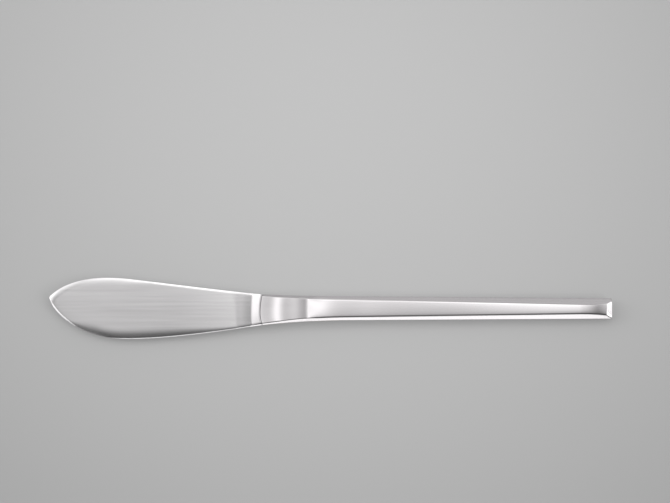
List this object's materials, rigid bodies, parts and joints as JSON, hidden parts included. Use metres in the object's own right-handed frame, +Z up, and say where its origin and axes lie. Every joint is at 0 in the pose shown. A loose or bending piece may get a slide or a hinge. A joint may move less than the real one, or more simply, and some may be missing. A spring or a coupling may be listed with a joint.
{
  "type": "butter knife",
  "caption": "Butter knife with a rounded leaf-shaped satin blade, a polished shoulder, a scooped neck and a slim chamfered hollow handle, all in steel.",
  "frame": {"origin": "on the ground under the middle of the knife's bounding box, with the knife lying on the back of its handle", "axes": "+X along the knife from the blade's tip to the handle's end, +Y across it from the blade's edge to its spine, +Z up from the back of the handle to its front"},
  "size_m": [0.17, 0.0186, 0.0047],
  "materials": {
    "satin_steel": "satin, brushed along the knife",
    "polished_steel": "polished, with a faint brushed grain",
    "braze_alloy": "ground flush",
    "cement": "rough cast"
  },
  "bodies": {
    "root": {"blade": "satin_steel", "handle_front_shell": "polished_steel", "handle_back_shell": "polished_steel", "braze_seam": "braze_alloy", "handle_filling": "cement"}
  },
  "joints": []
}
